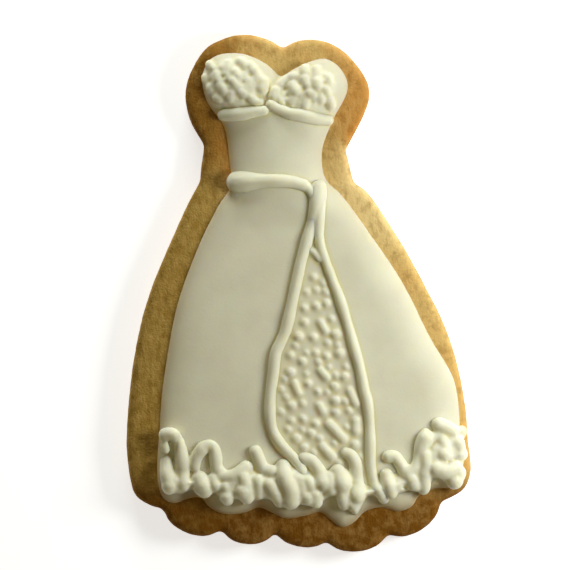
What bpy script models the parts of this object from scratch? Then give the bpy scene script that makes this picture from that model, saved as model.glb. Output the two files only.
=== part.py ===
"""A gown-shaped sugar cookie, flooded and piped with ivory icing.

Metres, +Z up. The cookie lies flat on its underside with the decorated side up and the bodice toward +Y.
The origin is at the bottom centre of its box.
"""
import math
import random

import bmesh
import bpy
from mathutils import Vector

MM = 0.001

# Driving dimensions in millimetres.
COOKIE_LENGTH = 115.0
BISCUIT_THICK = 6.0
BISCUIT_SIDE = 2.6
BISCUIT_ROUNDING = 2.4
ICING_THICK = 1.7
ICING_SIDE = 0.5
ICING_ROUNDING = 2.0
GAP = 0.3
BAND_RADIUS = 1.15
DRAPE_RADIUS = 0.95
LINE_SPACING = 2.1
RUFFLE_RADIUS = 1.15
RUFFLE_LIFT = 0.75
RUFFLE_BORDER_THICK = 0.75
RUFFLE_BORDER_SIDE = 0.25
RUFFLE_INSET = 1.1
SQUIGGLE_RADIUS = 0.95
SQUIGGLE_LIFT = 0.2
WORM_SPACING = 1.6
LACE_DOT_RADIUS = 0.78
LACE_DOT_SPACING = 2.15
LACE_WORM_RADIUS = 0.8
LACE_LIFT = 0.1
LACE_MARGIN = 0.2
CUTTER_WIDTH = 200.0
CUTTER_DEPTH = 4.0

# Distances below which points are the same one: where a curve's caps meet it, and where a cut leaves slivers.
WELD = 0.02
SLIVER = 0.01

# Shares without a unit. A line's centre lies PIPING_SINK of its radius over its foot. Its first end is thicker,
# where the nozzle touched down, and each end is rounded by rings at (how far out, how thick), both in radii.
PIPING_SINK = 0.45
KNOT_SWELL = 1.7
END_RINGS = [(1.0, 0.35), (0.6, 0.8)]

# Dots thrown on the lace panel, and how their sizes vary.
LACE_THROWS = 2500
LACE_SEED = 7
DOT_SIZES = (0.85, 1.2)

# Heights in millimetres, each layer resting on the one below it.
ICING_BASE = BISCUIT_THICK + GAP
ICING_TOP = ICING_BASE + ICING_THICK
PIPING_BASE = ICING_TOP + GAP

# The outlines and the piped lines are drawn on a grid: x to the right, y down, the cookie LENGTH_IN_GRID high.
LENGTH_IN_GRID = 517.2
GRID = COOKIE_LENGTH / LENGTH_IN_GRID
GRID_CENTRE = (298.98, 293.49)

# Corners of the cutter's outline, where two smooth stretches meet.
NOTCH = (282.5, 49)
NECK_RIGHT = (345.2, 150)
NECK_LEFT = (204.6, 146)
HIP_RIGHT = (353, 182)
HIP_LEFT = (199.8, 181)

# Smooth stretches between those corners, clockwise as seen from above.
HEART_RIGHT = [(296, 41.6), (317, 39.6), (338, 47.4), (357, 66), (369, 88), (365, 112)]
WAIST_RIGHT = [(349.5, 168)]
SKIRT_RIGHT = [
    (370, 196), (398, 238), (424, 284), (450.5, 341), (464.5, 400), (468, 440), (470.6, 472), (462, 490.5)
]
SKIRT_LEFT = [(146, 503.5), (134, 492), (128.3, 464), (127, 430), (134, 357), (150, 293), (180.5, 220)]
WAIST_LEFT = [(201, 166)]
HEART_LEFT = [(189, 117), (186.5, 84), (202, 52.5), (224, 38.8), (246, 34.9), (268, 40)]

# Hem of the cutter: the valleys between its five scallops, from right to left, and how far each scallop bulges.
VALLEYS = [(441, 501.8), (388, 534.8), (326, 541.6), (275.3, 532.6), (221.5, 530.2), (163, 509)]
BULGES = [13.5, 13.5, 9.5, 13, 14.5]
SCALLOP_PARTS = (0.2, 0.5, 0.8)
SCALLOP_FULLNESS = 0.6

# The flooded icing: bust, bodice and skirt, with a softly lobed hem.
CLEAVAGE = (281, 77.5)
CUP_RIGHT = [(302, 65), (325, 58.8), (342, 70.5), (347.8, 91), (333, 121)]
BODICE_RIGHT = [(322.6, 150), (325.5, 178), (342, 195.5)]
ICING_RIGHT = [(366, 228), (402, 281.5), (430, 337), (452, 375), (458.8, 408), (459.5, 440), (460, 464)]
ICING_HEM = [
    (461.5, 477), (453, 487.5), (436, 488.5), (420, 494.5), (412, 506), (398, 511.3), (380, 507.2), (364, 512),
    (355, 521.5), (342.3, 527.4), (331, 520.5), (320, 512), (305, 515.8), (286, 518.4), (273, 513), (259, 507.4),
    (245, 512.6), (226, 514.2), (210.5, 508), (201, 497.8), (189, 498.4), (173, 503.2), (161, 494.5),
]
ICING_LEFT = [(157, 470), (159.4, 430), (163, 384), (176, 310), (196, 252), (216.5, 209)]
BODICE_LEFT = [(230, 186), (229, 160), (223.5, 127)]
CUP_LEFT = [(206.5, 102), (202.4, 75), (214.5, 56.5), (240, 53.4), (264, 62.5)]

# Piped lines, each from its first to its last touch of the nozzle.
BUST_BAND_LEFT = [(223, 113), (236, 112), (252, 110.5), (264, 110.5)]
BUST_BAND_RIGHT = [(276.5, 109), (292, 112), (306, 114), (319, 118), (329, 118)]
SASH_LEFT = [
    (234, 181), (242, 180.5), (265, 180), (288, 181.5), (302, 185), (308.5, 194), (309, 210), (305.5, 228),
    (304, 260), (298.5, 290), (285, 338), (274.5, 378), (272.7, 408), (276, 432), (287, 450), (298, 462),
]
SASH_RIGHT = [
    (324, 188), (321.5, 204), (320.5, 228), (323.5, 252), (333, 275), (349, 325), (363, 379), (370.5, 410),
    (371.7, 440), (371.2, 474), (373, 484),
]

# Squiggles on the bust, as short worms.
SQUIGGLES = [
    [(240, 60), (250, 66), (258, 75)],
    [(228, 65), (234, 72), (231, 81)],
    [(217, 77), (223, 88), (231, 96)],
    [(247, 80), (241, 90), (250, 97)],
    [(264, 80), (263, 92), (257, 99)],
    [(210.5, 70), (209, 86)],
    [(270, 101), (277, 92), (289, 82)],
    [(291, 91), (299, 96), (296, 104)],
    [(304, 81), (307, 89), (306, 99)],
    [(314, 67), (316, 76), (322, 84)],
    [(313, 91), (320, 99), (318, 107)],
    [(329, 79), (334, 87), (336, 97)],
    [(303, 70), (301, 74)],
    [(236, 101), (222, 103)],
]

# Short worms among the dots of the lace panel, and the heights between which the dots lie.
LACE_WORMS = [
    [(323, 324), (327.5, 333)],
    [(296, 381), (300.5, 394)],
    [(321, 369), (327, 378)],
    [(303, 433), (318, 432)],
    [(332, 423), (341, 436)],
    [(354, 421), (354, 431)],
    [(322, 446), (330, 455)],
]
LACE_TOP = 256
LACE_FOOT = 449

# Worms of the ruffled hem, from left to right.
RUFFLE_WORMS = [
    [(166, 440), (170, 430), (179, 436), (184, 455), (184, 472), (183, 489)],
    [(167.5, 460), (172, 472), (168.5, 487)],
    [(194, 464), (199, 449), (209, 442), (218, 451), (221, 468), (233, 470), (247, 464)],
    [(205, 468), (201.5, 481), (205, 494)],
    [(247, 464), (252, 451), (258, 452), (263, 468), (275, 466)],
    [(228, 486), (230, 498)],
    [(245, 480), (247, 492), (247, 502)],
    [(285, 466), (286, 480), (290, 494), (290, 509)],
    [(272, 486), (276, 495), (281, 507)],
    [(311, 463), (320, 468), (325, 484), (322, 500)],
    [(307, 483), (314, 493), (316, 506)],
    [(341, 463), (345, 450), (353, 457), (358, 472), (358, 488)],
    [(339, 472), (343, 484), (343, 497), (345, 512)],
    [(386, 455), (394, 452), (402, 463), (411, 474), (416, 486)],
    [(386, 478), (392, 490), (396, 502)],
    [(411, 468), (415, 448), (423, 434), (436, 434), (444, 441), (447, 453)],
    [(436, 425), (447, 429), (454, 440), (458, 452), (455, 462)],
    [(431, 456), (425, 474), (422, 488)],
    [(437, 471), (449, 470), (455, 477)],
]

# Upper edge of the low border that carries the ruffle, from left to right.
RUFFLE_TOP = [
    (163, 474), (186, 478), (225, 474), (262, 474), (300, 480), (335, 482), (372, 495.5), (405, 480), (440, 462)
]

# Finishes as (colour, roughness).
BAKED_DOUGH = ((0.46, 0.27, 0.10), 0.75)
ROYAL_ICING = ((0.82, 0.80, 0.62), 0.45)


def place(point):
    """The point of the grid in millimetres from the cookie's centre."""
    x, y = point
    return ((x - GRID_CENTRE[0]) * GRID, (GRID_CENTRE[1] - y) * GRID)


def clear_scene():
    for item in list(bpy.data.objects):
        bpy.data.objects.remove(item)


def make_collection(name):
    collection = bpy.data.collections.new(name)
    bpy.context.scene.collection.children.link(collection)
    return collection


def make_material(name, colour, roughness):
    material = bpy.data.materials.new(name)
    material.use_nodes = True
    surface = material.node_tree.nodes["Principled BSDF"]
    surface.inputs["Base Color"].default_value = (*colour, 1.0)
    surface.inputs["Roughness"].default_value = roughness
    surface.inputs["Metallic"].default_value = 0.0
    return material


def add_object(name, mesh, collection, material=None):
    item = bpy.data.objects.new(name, mesh)
    collection.objects.link(item)
    if material:
        mesh.materials.clear()
        mesh.materials.append(material)
    return item


def curve_to_mesh(curve_object, name):
    """The curve's own surface as a closed mesh, the curve being removed."""
    depsgraph = bpy.context.evaluated_depsgraph_get()
    mesh = bpy.data.meshes.new_from_object(curve_object.evaluated_get(depsgraph))
    mesh.name = name
    bpy.data.objects.remove(curve_object)
    shape = bmesh.new()
    shape.from_mesh(mesh)
    bmesh.ops.remove_doubles(shape, verts=shape.verts, dist=WELD * MM)
    bmesh.ops.recalc_face_normals(shape, faces=shape.faces)
    shape.to_mesh(mesh)
    shape.free()
    return mesh


def scallop(start, end, bulge):
    """Three smooth points of a lobe that bulges from the straight line between two valleys."""
    run = Vector(end) - Vector(start)
    outward = Vector((run.y, -run.x)).normalized()
    points = []
    for part in SCALLOP_PARTS:
        height = bulge * math.sin(math.pi * part) ** SCALLOP_FULLNESS
        points.append(tuple(Vector(start) + run * part + outward * height))
    return points


def biscuit_outline():
    """(point, is_corner) pairs all round the cutter's shape."""
    stretches = [(NOTCH, HEART_RIGHT), (NECK_RIGHT, WAIST_RIGHT), (HIP_RIGHT, SKIRT_RIGHT)]
    for start, end, bulge in zip(VALLEYS, VALLEYS[1:], BULGES):
        stretches.append((start, scallop(start, end, bulge)))
    stretches += [(VALLEYS[-1], SKIRT_LEFT), (HIP_LEFT, WAIST_LEFT), (NECK_LEFT, HEART_LEFT)]
    anchors = []
    for corner, smooth in stretches:
        anchors.append((corner, True))
        anchors += [(point, False) for point in smooth]
    return anchors


def icing_outline():
    smooth = CUP_RIGHT + BODICE_RIGHT + ICING_RIGHT + ICING_HEM + ICING_LEFT + BODICE_LEFT + CUP_LEFT
    return [(CLEAVAGE, True)] + [(point, False) for point in smooth]


def ruffle_outline():
    """The hem of the icing moved inward, closed along the upper edge of the ruffle's border."""
    inset = RUFFLE_INSET / GRID
    lower = []
    for before, point, after in zip(ICING_HEM, ICING_HEM[1:], ICING_HEM[2:]):
        run = (Vector(after) - Vector(before)).normalized()
        lower.append((point[0] - run.y * inset, point[1] + run.x * inset))
    return [(point, False) for point in RUFFLE_TOP + lower]


def shrink_face(face, distance, height):
    """Moves the sides of a face inward by the distance, and all of it up to the height.

    A sharp corner would run off along its bisector, so it moves by no more than 4/3 of the distance.
    """
    corners = [loop.vert for loop in face.loops]
    places = [vert.co.copy() for vert in corners]
    for number, vert in enumerate(corners):
        back = (places[number] - places[number - 1]).normalized()
        ahead = (places[(number + 1) % len(places)] - places[number]).normalized()
        bisector = (back + ahead).normalized()
        inward = Vector((-bisector.y, bisector.x, 0.0))
        spread = max(inward.dot(Vector((-ahead.y, ahead.x, 0.0))), 3 / 4)
        vert.co = places[number] + inward * (distance / spread)
        vert.co.z = height


def flat_slab(name, anchors, steps, base, side, rounding, height, rings):
    """A slab of the outline: a straight side, then an edge rounded over as a quarter ellipse up to a flat top."""
    curve = bpy.data.curves.new(name, "CURVE")
    curve.dimensions = "2D"
    curve.fill_mode = "BOTH"
    curve.resolution_u = steps
    curve.extrude = side * MM / 2
    spline = curve.splines.new("BEZIER")
    spline.bezier_points.add(len(anchors) - 1)
    spline.use_cyclic_u = True
    for knot, (point, is_corner) in zip(spline.bezier_points, anchors):
        x, y = place(point)
        knot.co = (x * MM, y * MM, 0.0)
        knot.handle_left_type = "VECTOR" if is_corner else "AUTO"
        knot.handle_right_type = knot.handle_left_type
    carrier = bpy.data.objects.new(name, curve)
    bpy.context.scene.collection.objects.link(carrier)
    mesh = curve_to_mesh(carrier, name)

    shape = bmesh.new()
    shape.from_mesh(mesh)
    bmesh.ops.translate(shape, verts=shape.verts, vec=(0, 0, (base + side / 2) * MM))
    for direction in (1, -1):
        cap = [face for face in shape.faces if face.normal.z * direction > 0.9]
        bmesh.ops.dissolve_faces(shape, faces=cap)
    top = max(shape.faces, key=lambda face: face.normal.z * face.calc_area())
    for ring in range(1, rings + 1):
        angle = math.pi / 2 * ring / rings
        previous = math.pi / 2 * (ring - 1) / rings
        inward = rounding * (math.cos(previous) - math.cos(angle))
        bmesh.ops.inset_individual(shape, faces=[top], thickness=0.0)
        shrink_face(top, inward * MM, (base + side + (height - side) * math.sin(angle)) * MM)
    bmesh.ops.remove_doubles(shape, verts=shape.verts, dist=WELD * MM)
    shape.to_mesh(mesh)
    shape.free()
    return mesh


def smooth_path(anchors, spacing):
    """Points about `spacing` apart on a smooth curve through the anchors."""
    knots = [Vector(anchor) for anchor in anchors]
    knots = [knots[0] * 2 - knots[1]] + knots + [knots[-1] * 2 - knots[-2]]
    points = []
    for before, start, end, after in zip(knots, knots[1:], knots[2:], knots[3:]):
        count = max(1, round((end - start).length / spacing))
        for step in range(count):
            t = step / count
            points.append(
                start
                + (end - before) * (0.5 * t)
                + (before * 2 - start * 5 + end * 4 - after) * (0.5 * t * t)
                + (start * 3 - before - end * 3 + after) * (0.5 * t * t * t)
            )
    points.append(knots[-2])
    return points


def piped_line(name, anchors, radius, centre_height, spacing=LINE_SPACING, swell=1.0, sides=2):
    """A line of piped icing with round ends; its first end is `swell` times as thick."""
    path = smooth_path([place(point) for point in anchors], spacing)
    first_run = (path[1] - path[0]).normalized() * radius * swell
    last_run = (path[-1] - path[-2]).normalized() * radius
    beads = [(path[0] - first_run * out, thick * swell) for out, thick in END_RINGS]
    beads += [(path[0], swell)] + [(point, 1.0) for point in path[1:]]
    beads += [(path[-1] + last_run * out, thick) for out, thick in reversed(END_RINGS)]

    curve = bpy.data.curves.new(name, "CURVE")
    curve.dimensions = "3D"
    curve.bevel_depth = radius * MM
    curve.bevel_resolution = sides
    curve.use_fill_caps = True
    spline = curve.splines.new("POLY")
    spline.points.add(len(beads) - 1)
    for knot, (point, thick) in zip(spline.points, beads):
        knot.co = (point.x * MM, point.y * MM, centre_height * MM, 1.0)
        knot.radius = thick
    carrier = bpy.data.objects.new(name, curve)
    bpy.context.scene.collection.objects.link(carrier)
    return curve_to_mesh(carrier, name)


def dot(name, centre, radius, height):
    """A low bead of icing that sits with its widest ring at the given height."""
    shape = bmesh.new()
    bmesh.ops.create_uvsphere(shape, u_segments=7, v_segments=4, radius=radius * MM)
    bmesh.ops.translate(shape, verts=shape.verts, vec=(centre[0] * MM, centre[1] * MM, height * MM))
    mesh = bpy.data.meshes.new(name)
    shape.to_mesh(mesh)
    shape.free()
    return mesh


def path_at(path, y):
    """Where the path crosses the height y of the grid."""
    for (x0, y0), (x1, y1) in zip(path, path[1:]):
        if min(y0, y1) <= y <= max(y0, y1) and y0 != y1:
            return x0 + (x1 - x0) * (y - y0) / (y1 - y0)
    raise ValueError(f"the path does not reach {y}")


def lace_dots(rng):
    """Dots thrown one by one on the panel between the two drapes, each clear of all that lies there already."""
    margin = (DRAPE_RADIUS + LACE_DOT_RADIUS + GAP + LACE_MARGIN) / GRID
    taken = [Vector(place(point)) for worm in LACE_WORMS for point in worm]
    dots = []
    for _ in range(LACE_THROWS):
        y = rng.uniform(LACE_TOP, LACE_FOOT)
        left = path_at(SASH_LEFT, y) + margin
        right = path_at(SASH_RIGHT, y) - margin
        centre = Vector(place((rng.uniform(left, max(left, right)), y)))
        if all((centre - other).length > LACE_DOT_SPACING for other in taken):
            taken.append(centre)
            dots.append(centre)
    return dots


def boolean(item, operation, other):
    """Applies a Boolean with an object or with all objects of a collection."""
    modifier = item.modifiers.new(operation.title(), "BOOLEAN")
    modifier.operation = operation
    modifier.solver = "MANIFOLD"
    if isinstance(other, bpy.types.Collection):
        modifier.operand_type = "COLLECTION"
        modifier.collection = other
    else:
        modifier.object = other
    depsgraph = bpy.context.evaluated_depsgraph_get()
    result = bpy.data.meshes.new_from_object(item.evaluated_get(depsgraph))
    item.modifiers.clear()
    item.data = result


def keep_largest_piece(mesh):
    """Drops loose scraps that a cut leaves, and merges slivers."""
    shape = bmesh.new()
    shape.from_mesh(mesh)
    bmesh.ops.remove_doubles(shape, verts=shape.verts, dist=SLIVER * MM)
    unseen = set(shape.verts)
    pieces = []
    while unseen:
        front = [unseen.pop()]
        piece = set(front)
        while front:
            vert = front.pop()
            for edge in vert.link_edges:
                other = edge.other_vert(vert)
                if other in unseen:
                    unseen.discard(other)
                    piece.add(other)
                    front.append(other)
        pieces.append(piece)
    pieces.sort(key=len)
    for piece in pieces[:-1]:
        bmesh.ops.delete(shape, geom=list(piece), context="VERTS")
    shape.to_mesh(mesh)
    shape.free()


def floor_cutter(name, collection):
    """A block whose top face is the level on which the piping lies."""
    shape = bmesh.new()
    bmesh.ops.create_cube(shape, size=MM)
    bmesh.ops.scale(shape, verts=shape.verts, vec=(CUTTER_WIDTH, CUTTER_WIDTH, CUTTER_DEPTH))
    bmesh.ops.translate(shape, verts=shape.verts, vec=(0, 0, (PIPING_BASE - CUTTER_DEPTH / 2) * MM))
    mesh = bpy.data.meshes.new(name)
    shape.to_mesh(mesh)
    shape.free()
    cutter = add_object(name, mesh, collection)
    cutter.hide_render = True
    cutter.display_type = "WIRE"
    return cutter


def empty_collection(collection):
    for item in list(collection.objects):
        bpy.data.objects.remove(item)
    bpy.data.collections.remove(collection)


def make_biscuit(collection, material):
    mesh = flat_slab("biscuit", biscuit_outline(), 3, 0.0, BISCUIT_SIDE, BISCUIT_ROUNDING, BISCUIT_THICK, 4)
    return add_object("biscuit", mesh, collection, material)


def make_flood(collection, material):
    """The flooded icing with the squiggles of the bust and the dots of the lace panel fused to it."""
    mesh = flat_slab(
        "flood_icing", icing_outline(), 3, ICING_BASE, ICING_SIDE, ICING_ROUNDING, ICING_THICK, 3
    )
    flood = add_object("flood_icing", mesh, collection, material)
    toppings = make_collection("toppings")
    squiggle_height = ICING_TOP + SQUIGGLE_LIFT
    for number, worm in enumerate(SQUIGGLES):
        name = f"squiggle_{number}"
        add_object(name, piped_line(name, worm, SQUIGGLE_RADIUS, squiggle_height, WORM_SPACING, sides=1), toppings)
    lace_height = ICING_TOP + LACE_LIFT
    for number, worm in enumerate(LACE_WORMS):
        name = f"lace_worm_{number}"
        add_object(name, piped_line(name, worm, LACE_WORM_RADIUS, lace_height, WORM_SPACING, sides=1), toppings)
    rng = random.Random(LACE_SEED)
    for number, centre in enumerate(lace_dots(rng)):
        name = f"dot_{number}"
        radius = LACE_DOT_RADIUS * rng.uniform(*DOT_SIZES)
        add_object(name, dot(name, centre, radius, lace_height), toppings)
    boolean(flood, "UNION", toppings)
    empty_collection(toppings)
    keep_largest_piece(flood.data)
    return flood


def make_piping(name, anchors, radius, swell, floor, collection, material):
    """A line of piping with a flat underside, lying just over the flooded icing."""
    mesh = piped_line(name, anchors, radius, PIPING_BASE + PIPING_SINK * radius, swell=swell)
    line = add_object(name, mesh, collection, material)
    boolean(line, "DIFFERENCE", floor)
    keep_largest_piece(line.data)
    return line


def make_ruffle(floor, collection, material):
    """The ruffled hem: looping worms on a low lobed border, cut clear of the two drapes."""
    mesh = flat_slab(
        "hem_ruffle", ruffle_outline(), 2, PIPING_BASE, RUFFLE_BORDER_SIDE, RUFFLE_BORDER_THICK,
        RUFFLE_BORDER_THICK, 2,
    )
    ruffle = add_object("hem_ruffle", mesh, collection, material)
    worms = make_collection("worms")
    for number, worm in enumerate(RUFFLE_WORMS):
        name = f"worm_{number}"
        add_object(name, piped_line(name, worm, RUFFLE_RADIUS, PIPING_BASE + RUFFLE_LIFT), worms)
    boolean(ruffle, "UNION", worms)
    empty_collection(worms)
    boolean(ruffle, "DIFFERENCE", floor)
    for name, anchors in (("clear_left", SASH_LEFT), ("clear_right", SASH_RIGHT)):
        radius = DRAPE_RADIUS + GAP
        height = PIPING_BASE + PIPING_SINK * DRAPE_RADIUS
        cutter = add_object(name, piped_line(name, anchors[-5:], radius, height), collection)
        boolean(ruffle, "DIFFERENCE", cutter)
        bpy.data.objects.remove(cutter)
    keep_largest_piece(ruffle.data)
    return ruffle


def main():
    clear_scene()
    cookie = make_collection("gown_cookie")
    cutters = make_collection("cutters")
    baked = make_material("baked_biscuit", *BAKED_DOUGH)
    ivory = make_material("ivory_icing", *ROYAL_ICING)

    make_biscuit(cookie, baked)
    make_flood(cookie, ivory)
    floor = floor_cutter("piping_floor", cutters)
    make_piping("bust_band_left", BUST_BAND_LEFT, BAND_RADIUS, 1.0, floor, cookie, ivory)
    make_piping("bust_band_right", BUST_BAND_RIGHT, BAND_RADIUS, 1.0, floor, cookie, ivory)
    make_piping("sash_left", SASH_LEFT, DRAPE_RADIUS, KNOT_SWELL, floor, cookie, ivory)
    make_piping("sash_right", SASH_RIGHT, DRAPE_RADIUS, KNOT_SWELL, floor, cookie, ivory)
    make_ruffle(floor, cookie, ivory)


main()
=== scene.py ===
# %% [markdown]
# # A gown cookie with royal icing
#
# The real thing is a rolled sugar biscuit, cut as a strapless gown and baked until its rim browns.
# Ivory icing is flooded over it, left to set, and then bands, drapes, lace and a ruffled hem are
# piped on top. The cells below follow the same order: biscuit, flood, piping, and last the light
# and the camera.
#
# The measured model comes first. It says where every layer lies, so all heights here are read from
# it. They could be typed in as numbers, but a change to the model would then leave them behind.

# %% Load the measured model
import math
import random

import bmesh
import bpy
from mathutils import Matrix, Vector, kdtree, noise


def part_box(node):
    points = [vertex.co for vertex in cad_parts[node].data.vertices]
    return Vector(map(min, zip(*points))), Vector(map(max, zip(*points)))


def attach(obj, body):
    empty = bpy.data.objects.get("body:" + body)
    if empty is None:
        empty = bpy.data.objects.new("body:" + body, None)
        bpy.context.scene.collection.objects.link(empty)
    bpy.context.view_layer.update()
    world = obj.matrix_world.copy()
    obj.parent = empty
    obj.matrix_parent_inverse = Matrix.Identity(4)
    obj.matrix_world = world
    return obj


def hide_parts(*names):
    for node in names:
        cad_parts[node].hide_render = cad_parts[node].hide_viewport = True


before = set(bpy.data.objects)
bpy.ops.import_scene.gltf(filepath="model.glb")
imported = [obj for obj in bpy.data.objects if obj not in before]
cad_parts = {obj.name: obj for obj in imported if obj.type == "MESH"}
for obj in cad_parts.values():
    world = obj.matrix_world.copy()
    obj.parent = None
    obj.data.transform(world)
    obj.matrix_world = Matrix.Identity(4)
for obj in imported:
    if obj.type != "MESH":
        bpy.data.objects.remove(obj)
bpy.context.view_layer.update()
print("nodes:", sorted(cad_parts))

# %% [markdown]
# ## The drawing grid
#
# The cookie is drawn from straight above on a grid, x to the right and y down, and it is 517.2
# steps long there. All outlines and lines below are in steps of this grid, and one function turns
# them into metres. Metres in every list would save that function, but steps are short numbers that
# can be laid over the drawing again.

# %% Heights and the drawing grid
MM = 0.001
BISCUIT_LOW, BISCUIT_HIGH = (Vector(corner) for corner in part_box("biscuit"))
FLOOD_LOW, FLOOD_HIGH = (Vector(corner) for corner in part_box("flood_icing"))
PIPING_LOW = Vector(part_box("hem_ruffle")[0])

BISCUIT_TOP = BISCUIT_HIGH.z
BOND = 0.3 * MM
ICING_TOP = PIPING_LOW.z - BOND

LENGTH_IN_GRID = 517.2
GRID_CENTRE = (298.98, 293.49)
GRID = (BISCUIT_HIGH.y - BISCUIT_LOW.y) / LENGTH_IN_GRID


def place(point, height=0.0):
    """A point of the drawing grid, x to the right and y down, at a height above the table."""
    return Vector(((point[0] - GRID_CENTRE[0]) * GRID, (GRID_CENTRE[1] - point[1]) * GRID, height))


print(f"one step of the grid is {GRID / MM:.4f} mm, the biscuit is {BISCUIT_TOP / MM:.1f} mm thick")
print(f"the measured flood lies from {FLOOD_LOW.z / MM:.1f} to {FLOOD_HIGH.z / MM:.1f} mm")

# %% [markdown]
# ## Curves through a few points
#
# A baker draws the gown with a handful of strokes. A smooth curve through a few anchors does the
# same. It needs nothing but the anchors, while a Bezier curve needs two handles for each of them.
# Where two strokes meet at a corner, one ends there and the next one starts.

# %% Smooth curves
def smooth_path(anchors, spacing):
    """Points about `spacing` apart on a smooth curve through the anchors."""
    knots = [Vector(anchor) for anchor in anchors]
    knots = [knots[0] * 2 - knots[1]] + knots + [knots[-1] * 2 - knots[-2]]
    points = []
    for before, start, end, after in zip(knots, knots[1:], knots[2:], knots[3:]):
        count = max(1, round((end - start).length / spacing))
        for step in range(count):
            t = step / count
            points.append(
                start
                + (end - before) * (0.5 * t)
                + (before * 2 - start * 5 + end * 4 - after) * (0.5 * t * t)
                + (start * 3 - before - end * 3 + after) * (0.5 * t * t * t)
            )
    points.append(knots[-2])
    return points


def closed_outline(strokes, spacing, height):
    """A ring of points along strokes that meet at corners, each being (corner, smooth points)."""
    ring = []
    for number, (corner, smooth) in enumerate(strokes):
        next_corner = strokes[(number + 1) % len(strokes)][0]
        anchors = [place(point, height) for point in [corner] + smooth + [next_corner]]
        ring += smooth_path(anchors, spacing)[:-1]
    return ring


print(len(smooth_path([(0, 0), (4, 0), (6, 3)], 0.5)), "points on a trial curve of three anchors")

# %% [markdown]
# ## The cutter
#
# The cutter is a bent strip of metal: a heart for the bust, a waist with a kink on each side, and a
# hem of five scallops. One long list of points would do. A few anchors to a stroke and a formula
# for the scallops keep the curves even and the numbers few.

# %% Outline of the cutter
NOTCH = (282.5, 49)
NECK_RIGHT = (345.2, 150)
NECK_LEFT = (204.6, 146)
HIP_RIGHT = (353, 182)
HIP_LEFT = (199.8, 181)
HEART_RIGHT = [(296, 41.6), (317, 39.6), (338, 47.4), (357, 66), (369, 88), (365, 112)]
WAIST_RIGHT = [(349.5, 168)]
SKIRT_RIGHT = [
    (370, 196), (398, 238), (424, 284), (450.5, 341), (464.5, 400), (468, 440), (470.6, 472),
    (462, 490.5),
]
SKIRT_LEFT = [
    (146, 503.5), (134, 492), (128.3, 464), (127, 430), (134, 357), (150, 293), (180.5, 220),
]
WAIST_LEFT = [(201, 166)]
HEART_LEFT = [(189, 117), (186.5, 84), (202, 52.5), (224, 38.8), (246, 34.9), (268, 40)]
VALLEYS = [(441, 501.8), (388, 534.8), (326, 541.6), (275.3, 532.6), (221.5, 530.2), (163, 509)]
BULGES = [13.5, 13.5, 9.5, 13, 14.5]
SCALLOP_PARTS = (0.2, 0.5, 0.8)
SCALLOP_FULLNESS = 0.6


def scallop(start, end, bulge):
    """Three points of a lobe that bulges from the straight line between two valleys."""
    run = Vector(end) - Vector(start)
    outward = Vector((run.y, -run.x)).normalized()
    points = []
    for part in SCALLOP_PARTS:
        height = bulge * math.sin(math.pi * part) ** SCALLOP_FULLNESS
        points.append(tuple(Vector(start) + run * part + outward * height))
    return points


def biscuit_strokes():
    """All strokes of the cutter, clockwise from the notch of the bust."""
    strokes = [(NOTCH, HEART_RIGHT), (NECK_RIGHT, WAIST_RIGHT), (HIP_RIGHT, SKIRT_RIGHT)]
    strokes += [(a, scallop(a, b, bulge)) for a, b, bulge in zip(VALLEYS, VALLEYS[1:], BULGES)]
    strokes += [(VALLEYS[-1], SKIRT_LEFT), (HIP_LEFT, WAIST_LEFT), (NECK_LEFT, HEART_LEFT)]
    return strokes


print(len(biscuit_strokes()), "strokes, of which", len(BULGES), "are scallops")

# %% [markdown]
# ## Plates under one skin
#
# Dough and icing have no seams: what touches runs together. So each piece is put together from
# simple closed shapes, here a plate with a rounded rim, and a voxel remesh pulls one skin over all
# of them. A boolean union would keep every crease sharp and often fails on hundreds of overlapping
# shapes. A few rounds of smoothing then round off the valleys, as surface tension does before icing
# sets. The underside is never seen, so it is cut flat and closed with one face.

# %% A rounded plate
def add_plate(shape, outline, thickness, rounding):
    """A plate of the outline whose upper edge is rounded over."""
    corners = [shape.verts.new(point) for point in outline]
    rim = [shape.edges.new(pair) for pair in zip(corners, corners[1:] + corners[:1])]
    floor = bmesh.ops.contextual_create(shape, geom=rim)["faces"]
    lifted = bmesh.ops.extrude_face_region(shape, geom=floor, use_keep_orig=True)["geom"]
    top_verts = [item for item in lifted if isinstance(item, bmesh.types.BMVert)]
    top_edges = [item for item in lifted if isinstance(item, bmesh.types.BMEdge)]
    bmesh.ops.translate(shape, verts=top_verts, vec=(0, 0, thickness))
    if rounding:
        bmesh.ops.bevel(
            shape, geom=top_edges, offset=rounding, offset_type="OFFSET", segments=7, profile=0.5,
            affect="EDGES", clamp_overlap=False, material=-1,
        )
    bmesh.ops.recalc_face_normals(shape, faces=shape.faces)


trial = bmesh.new()
add_plate(trial, [(0, 0, 0), (4, 0, 0), (4, 4, 0), (0, 4, 0)], 1.0, 0.3)
print("a trial plate has", len(trial.faces), "faces")

# %% One skin over everything
def smooth_out(shape, rounds):
    """Rounds off valleys and ridges alike."""
    for _ in range(rounds):
        bmesh.ops.smooth_vert(
            shape, verts=shape.verts, factor=0.5, use_axis_x=True, use_axis_y=True, use_axis_z=True
        )


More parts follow.
